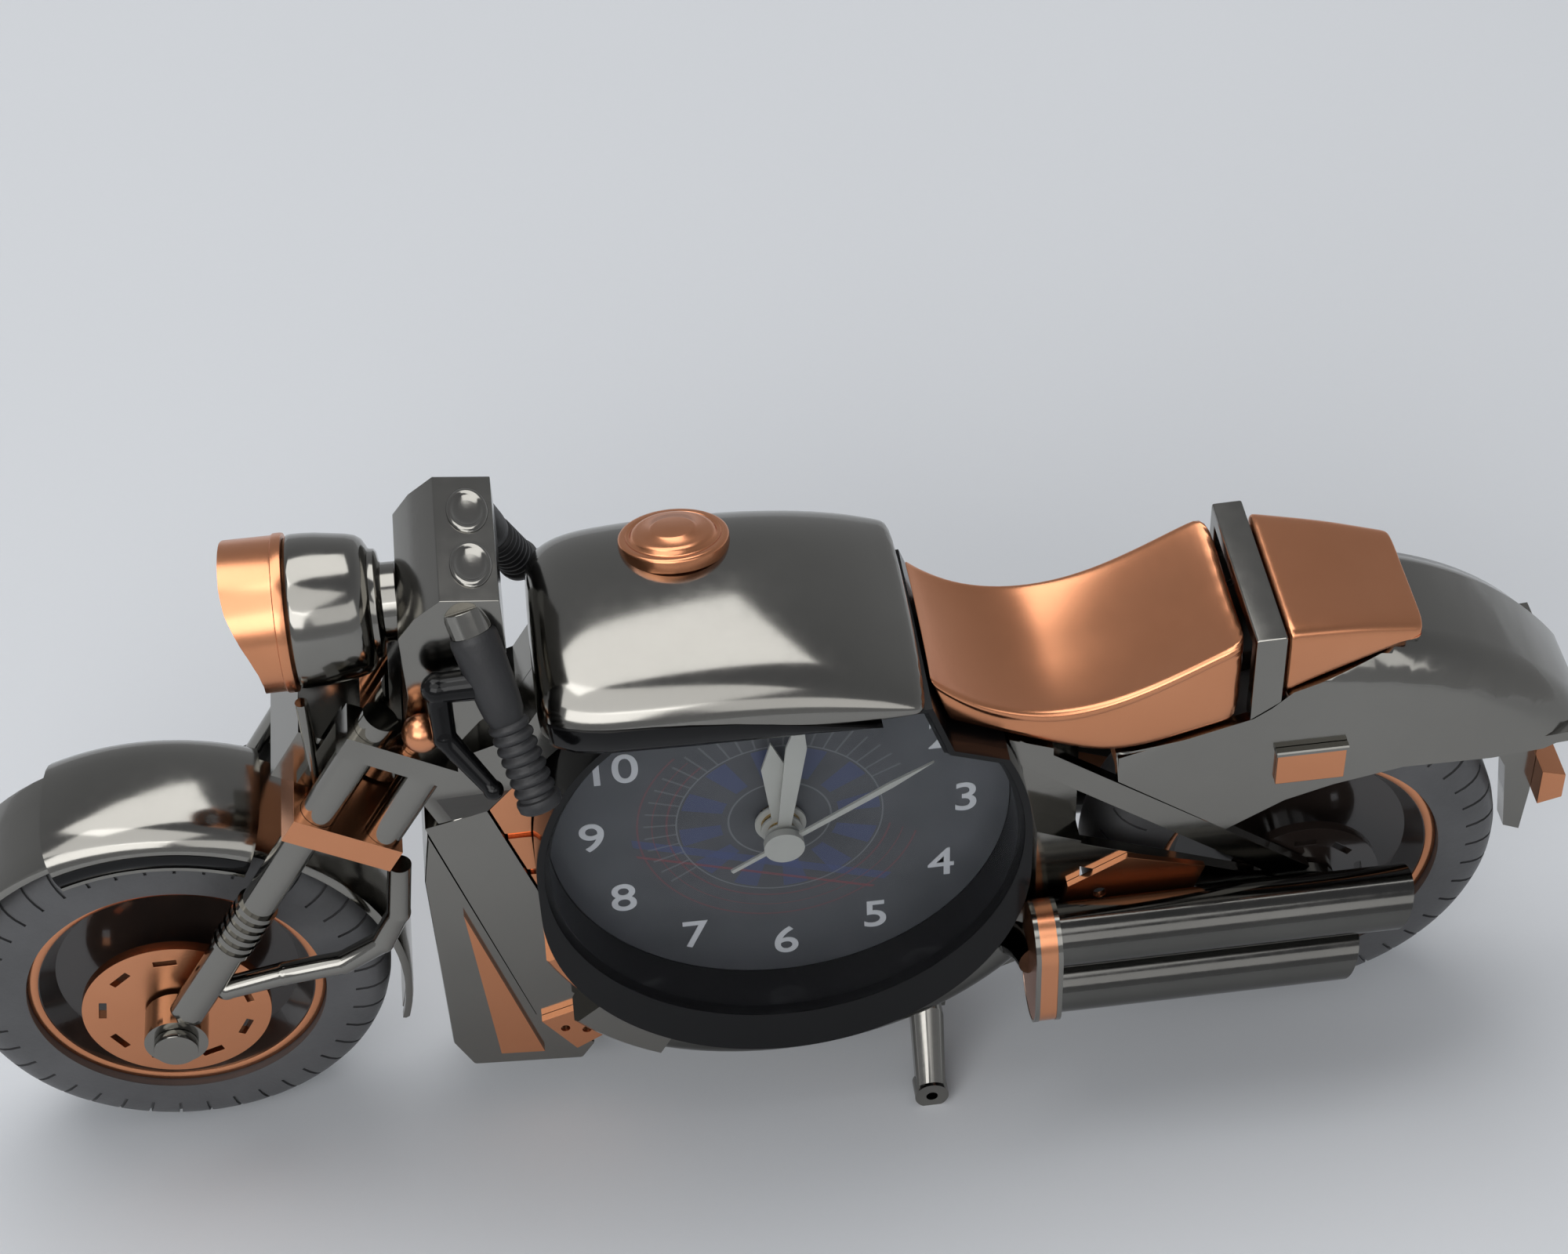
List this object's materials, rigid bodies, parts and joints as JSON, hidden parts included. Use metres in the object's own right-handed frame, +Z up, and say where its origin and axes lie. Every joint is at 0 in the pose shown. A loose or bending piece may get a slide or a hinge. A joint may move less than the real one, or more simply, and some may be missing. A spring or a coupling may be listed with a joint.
{
  "type": "motorcycle alarm clock",
  "caption": "Desk alarm clock in the form of a cruiser motorbike, with a round dial drum for an engine, turning wheels, steering fork and folding stand.",
  "frame": {"origin": "on the ground under the middle of the box, between the two wheels", "axes": "+X from the front wheel to the tail, -Y towards the side with the dial, +Z up"},
  "size_m": [0.2422, 0.054, 0.1093],
  "materials": {
    "tyre": "satin rubber with shoulder grooves",
    "wheel_black": "gloss",
    "copper": "satin copper plating",
    "gunmetal": "polished black nickel plating",
    "steel": "bright",
    "grip_rubber": "matt",
    "black_plastic": "gloss",
    "clear": "clear polished plastic",
    "dial_print": "printed satin",
    "hand_lume": "pale luminous paint",
    "movement_plastic": "moulded",
    "brass": "cut brass",
    "magnet": "dull",
    "winding": "enamelled wire",
    "board": "satin",
    "cell": "satin"
  },
  "bodies": {
    "chassis": {"steering_head": "gunmetal", "frame_left": "gunmetal", "frame_right": "gunmetal", "screws": "steel", "front_cowl": "gunmetal", "engine_block": "copper", "copper_trim": "copper", "fuel_tank": "gunmetal", "fuel_cap": "copper", "seat": "copper", "seat_band": "gunmetal", "rear_fender": "gunmetal", "reflectors": "copper", "exhausts": "gunmetal", "rear_axle": "steel", "clock_housing": "black_plastic", "rear_housing": "black_plastic", "crystal": "clear", "dial": "dial_print", "movement_plate": "movement_plastic", "movement_cover": "movement_plastic", "stator": "steel", "coil": "winding", "circuit_board": "board", "buzzer": "brass", "battery": "cell", "battery_contacts": "steel"},
    "fork": {"fork_legs": "gunmetal", "lower_yoke": "copper", "upper_yoke": "gunmetal", "front_fender": "gunmetal", "headlight_bucket": "gunmetal", "headlight_bezel": "copper", "headlight_lens": "clear", "nacelle": "gunmetal", "grips": "grip_rubber", "levers": "black_plastic", "turn_lamps": "copper", "front_axle": "steel"},
    "front_wheel": {"front_tyre": "tyre", "front_rim": "wheel_black", "front_discs": "copper"},
    "rear_wheel": {"rear_tyre": "tyre", "rear_rim": "wheel_black", "rear_discs": "wheel_black"},
    "stand": {"stand": "gunmetal"},
    "minute": {"minute_hand": "hand_lume", "cannon_wheel": "brass"},
    "hour": {"hour_hand": "hand_lume", "hour_wheel": "brass"},
    "time_knob": {"minute_wheel": "black_plastic"},
    "alarm": {"alarm_hand": "hand_lume", "alarm_wheel": "brass"},
    "alarm_knob": {"alarm_knob": "black_plastic"},
    "step": {"step_wheel": "movement_plastic"},
    "second": {"second_hand": "hand_lume", "seconds_wheel": "brass"},
    "rotor": {"rotor": "magnet"},
    "alarm_switch": {"alarm_switch": "movement_plastic"},
    "battery_cover": {"battery_cover": "black_plastic"}
  },
  "joints": [
    {"name": "steering", "type": "hinge", "parent": "chassis", "child": "fork", "pos_m": [-0.05621, 0, 0.06523], "axis": [0.5299, 0, 0.848], "range_deg": [-6, 6]},
    {"name": "front_wheel_spin", "type": "hinge", "parent": "fork", "child": "front_wheel", "pos_m": [-0.0879, 0, 0.0315], "axis": [0, 1, 0], "continuous": true},
    {"name": "rear_wheel_spin", "type": "hinge", "parent": "chassis", "child": "rear_wheel", "pos_m": [0.0801, 0, 0.0315], "axis": [0, 1, 0], "continuous": true},
    {"name": "stand_fold", "type": "hinge", "parent": "chassis", "child": "stand", "pos_m": [0.0231, 0, 0.0115], "axis": [0, -1, 0], "range_deg": [0, 80]},
    {"name": "minute_turn", "type": "hinge", "parent": "chassis", "child": "minute", "pos_m": [0.0023, 0, 0.057], "axis": [0, 1, 0], "continuous": true},
    {"name": "hour_turn", "type": "hinge", "parent": "chassis", "child": "hour", "pos_m": [0.0023, 0, 0.057], "axis": [0, 1, 0], "continuous": true},
    {"name": "time_set", "type": "hinge", "parent": "chassis", "child": "time_knob", "pos_m": [-0.00982, 0, 0.057], "axis": [0, 1, 0], "continuous": true},
    {"name": "alarm_turn", "type": "hinge", "parent": "chassis", "child": "alarm", "pos_m": [0.0023, 0, 0.057], "axis": [0, 1, 0], "continuous": true},
    {"name": "alarm_set", "type": "hinge", "parent": "chassis", "child": "alarm_knob", "pos_m": [0.01542, 0, 0.057], "axis": [0, 1, 0], "continuous": true},
    {"name": "step_turn", "type": "hinge", "parent": "chassis", "child": "step", "pos_m": [0.0023, 0, 0.06912], "axis": [0, 1, 0], "continuous": true},
    {"name": "second_turn", "type": "hinge", "parent": "chassis", "child": "second", "pos_m": [0.0023, 0, 0.057], "axis": [0, 1, 0], "continuous": true},
    {"name": "rotor_turn", "type": "hinge", "parent": "chassis", "child": "rotor", "pos_m": [0.00967, 0, 0.07338], "axis": [0, 1, 0], "continuous": true},
    {"name": "alarm_switch_slide", "type": "slide", "parent": "chassis", "child": "alarm_switch", "axis": [1, 0, 0], "range_m": [0, 0.004]},
    {"name": "battery_cover_slide", "type": "slide", "parent": "chassis", "child": "battery_cover", "axis": [0, 1, 0], "range_m": [0, 0.04]}
  ],
  "couplings": [
    {"joint": "hour_turn", "follows": "minute_turn", "ratio": 0.083333},
    {"joint": "time_set", "follows": "minute_turn", "ratio": -0.33333},
    {"joint": "alarm_set", "follows": "alarm_turn", "ratio": -3.3333},
    {"joint": "second_turn", "follows": "step_turn", "ratio": -0.2},
    {"joint": "rotor_turn", "follows": "step_turn", "ratio": -6}
  ]
}
